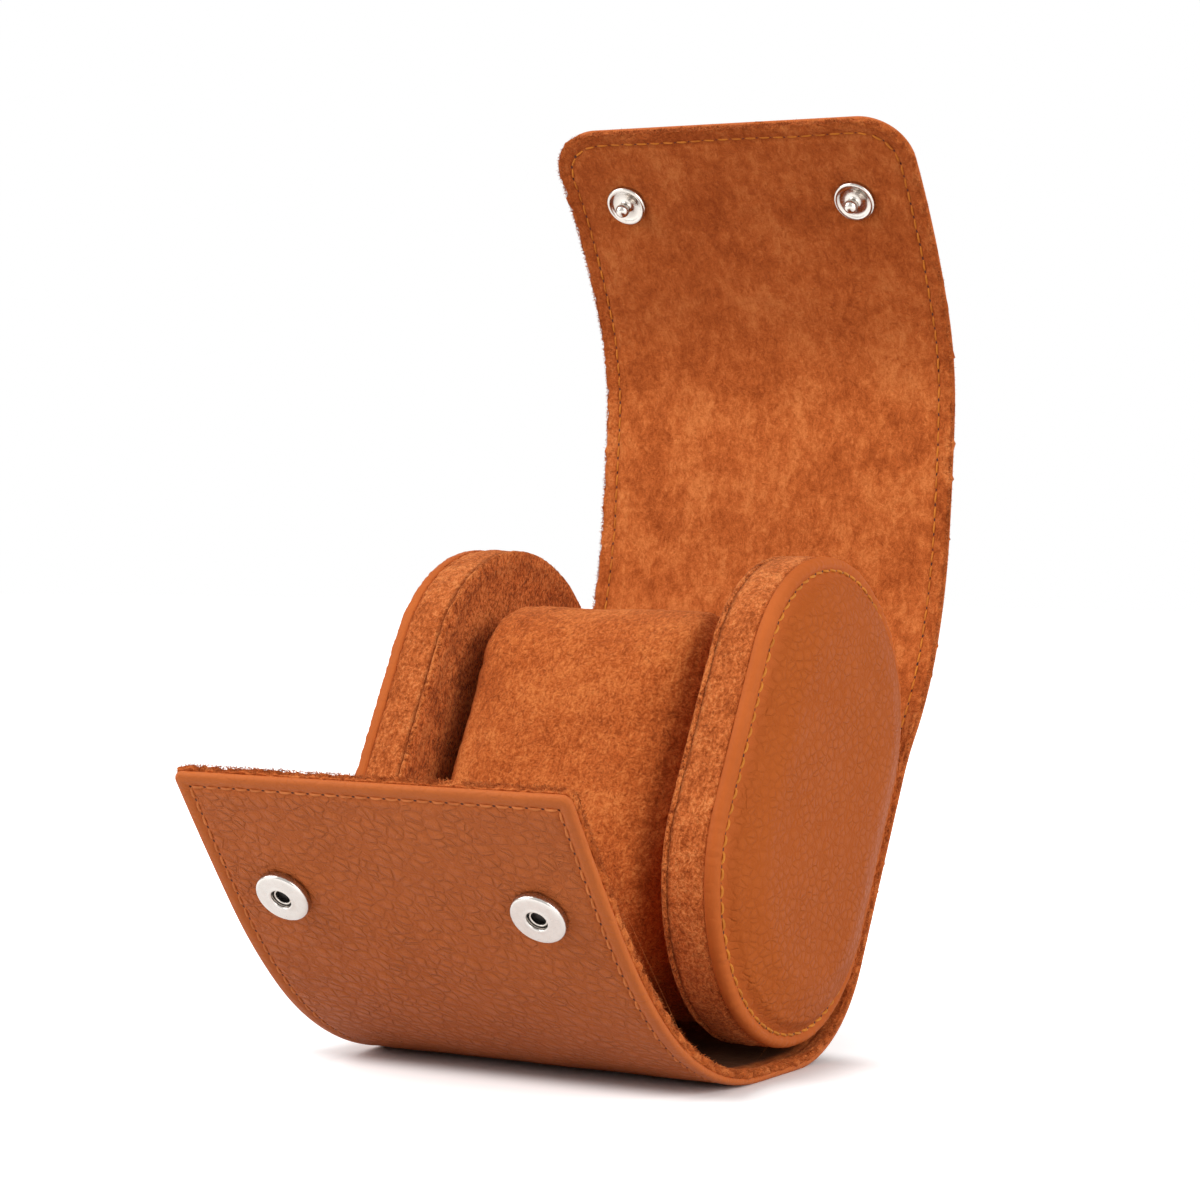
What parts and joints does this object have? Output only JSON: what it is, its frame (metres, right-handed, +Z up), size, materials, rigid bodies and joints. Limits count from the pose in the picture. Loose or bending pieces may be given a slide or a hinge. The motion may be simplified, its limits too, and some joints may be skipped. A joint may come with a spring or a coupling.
{
  "type": "watch roll",
  "caption": "Open leather watch roll with two padded oval end caps, a suede lining, a fold-over lid and a front flap that snap together around a lift-out suede pillow.",
  "frame": {"origin": "centre of the footprint's bounding box, on the surface the roll stands on", "axes": "+Z up, +X across the roll towards its right end cap seen from the front, +Y to the back, where the lid stands up"},
  "size_m": [0.0954, 0.1708, 0.2015],
  "materials": {
    "leather": "satin",
    "suede": "matte",
    "thread": "satin",
    "board": "matte",
    "foam": "matte",
    "metal": "gloss"
  },
  "bodies": {
    "case": {"case_leather": "leather", "case_lining": "suede", "case_stitching": "thread", "left_cap_core": "board", "left_cap_pad": "foam", "left_cap_cover": "leather", "left_cap_band": "suede", "left_cap_inner_panel": "suede", "left_cap_stitching": "thread", "right_cap_core": "board", "right_cap_pad": "foam", "right_cap_cover": "leather", "right_cap_band": "suede", "right_cap_inner_panel": "suede", "right_cap_stitching": "thread"},
    "front_lower": {"front_lower_leather": "leather", "front_lower_lining": "suede", "front_lower_stitching": "thread"},
    "front_middle": {"front_middle_leather": "leather", "front_middle_lining": "suede", "front_middle_stitching": "thread"},
    "front_upper": {"front_upper_leather": "leather", "front_upper_lining": "suede", "front_upper_stitching": "thread", "snap_sockets": "metal", "snap_socket_springs": "metal", "snap_socket_backs": "metal"},
    "lid_1": {"lid_1_leather": "leather", "lid_1_lining": "suede", "lid_1_stitching": "thread"},
    "lid_2": {"lid_2_leather": "leather", "lid_2_lining": "suede", "lid_2_stitching": "thread"},
    "lid_3": {"lid_3_leather": "leather", "lid_3_lining": "suede", "lid_3_stitching": "thread"},
    "lid_4": {"lid_4_leather": "leather", "lid_4_lining": "suede", "lid_4_stitching": "thread"},
    "lid_5": {"lid_5_leather": "leather", "lid_5_lining": "suede", "lid_5_stitching": "thread"},
    "lid_6": {"lid_6_leather": "leather", "lid_6_lining": "suede", "lid_6_stitching": "thread", "snap_studs": "metal", "snap_stud_backs": "metal"},
    "pillow": {"pillow_core": "foam", "pillow_sleeve": "suede", "pillow_left_end": "suede", "pillow_right_end": "suede"}
  },
  "joints": [
    {"name": "lid_fold", "type": "hinge", "parent": "case", "child": "lid_1", "pos_m": [0, 0.05935, 0.05807], "axis": [1, 0, 0], "range_deg": [-2, 12.98]},
    {"name": "lid_fold_2", "type": "hinge", "parent": "lid_1", "child": "lid_2", "pos_m": [0, 0.06501, 0.06691], "axis": [1, 0, 0], "range_deg": [-4.23, 27.42]},
    {"name": "lid_fold_3", "type": "hinge", "parent": "lid_2", "child": "lid_3", "pos_m": [0, 0.07649, 0.08797], "axis": [1, 0, 0], "range_deg": [-4.04, 26.15]},
    {"name": "lid_fold_4", "type": "hinge", "parent": "lid_3", "child": "lid_4", "pos_m": [0, 0.08157, 0.11167], "axis": [1, 0, 0], "range_deg": [-3.28, 21.26]},
    {"name": "lid_fold_5", "type": "hinge", "parent": "lid_4", "child": "lid_5", "pos_m": [0, 0.08261, 0.13639], "axis": [1, 0, 0], "range_deg": [-2.46, 15.88]},
    {"name": "lid_fold_6", "type": "hinge", "parent": "lid_5", "child": "lid_6", "pos_m": [0, 0.07765, 0.15952], "axis": [1, 0, 0], "range_deg": [-2.27, 14.65]},
    {"name": "front_fold", "type": "hinge", "parent": "case", "child": "front_lower", "pos_m": [0, 0.00084, 0.0028], "axis": [-1, 0, 0], "range_deg": [0, 30.59]},
    {"name": "front_fold_2", "type": "hinge", "parent": "front_lower", "child": "front_middle", "pos_m": [0, -0.0294, 0.00739], "axis": [-1, 0, 0], "range_deg": [0, 10.96]},
    {"name": "front_fold_3", "type": "hinge", "parent": "front_middle", "child": "front_upper", "pos_m": [0, -0.04854, 0.01996], "axis": [-1, 0, 0], "range_deg": [0, 22.31]},
    {"name": "pillow_lift", "type": "slide", "parent": "case", "child": "pillow", "axis": [0, 0.4602, 0.8878], "range_m": [0, 0.008]}
  ],
  "couplings": [
    {"joint": "lid_fold_2", "follows": "lid_fold", "ratio": 2.1117},
    {"joint": "lid_fold_3", "follows": "lid_fold", "ratio": 2.0139},
    {"joint": "lid_fold_4", "follows": "lid_fold", "ratio": 1.6371},
    {"joint": "lid_fold_5", "follows": "lid_fold", "ratio": 1.2227},
    {"joint": "lid_fold_6", "follows": "lid_fold", "ratio": 1.1279},
    {"joint": "front_fold_2", "follows": "front_fold", "ratio": 0.35796},
    {"joint": "front_fold_3", "follows": "front_fold", "ratio": 0.729}
  ]
}
